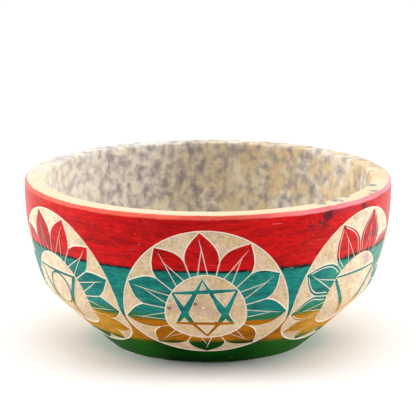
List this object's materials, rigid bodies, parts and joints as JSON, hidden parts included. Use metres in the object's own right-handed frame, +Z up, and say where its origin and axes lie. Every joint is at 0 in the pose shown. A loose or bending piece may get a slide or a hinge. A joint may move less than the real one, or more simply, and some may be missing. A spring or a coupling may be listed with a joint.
{
  "type": "carved bowl",
  "caption": "Round stone bowl with a straight flared lower wall, four painted colour bands and lotus medallions cut through the paint round its side.",
  "frame": {"origin": "centre of the foot's underside, where the bowl stands", "axes": "+Z up along the bowl's axis, -Y towards the front medallion, +X to its right"},
  "size_m": [0.1254, 0.1254, 0.057],
  "materials": {
    "stone": "sanded matt soapstone, cream mottled with grey violet and ochre",
    "red_paint": "satin brushed paint, slightly worn",
    "teal_paint": "satin brushed paint, slightly worn",
    "yellow_paint": "satin ochre paint, thin at its edges",
    "green_paint": "satin brushed paint"
  },
  "bodies": {
    "root": {"stone_bowl": "stone", "red_band": "red_paint", "red_petals": "red_paint", "teal_band": "teal_paint", "teal_petals": "teal_paint", "teal_stars": "teal_paint", "yellow_band": "yellow_paint", "yellow_petals": "yellow_paint", "yellow_star_points": "yellow_paint", "green_band": "green_paint", "green_petals": "green_paint"}
  },
  "joints": []
}
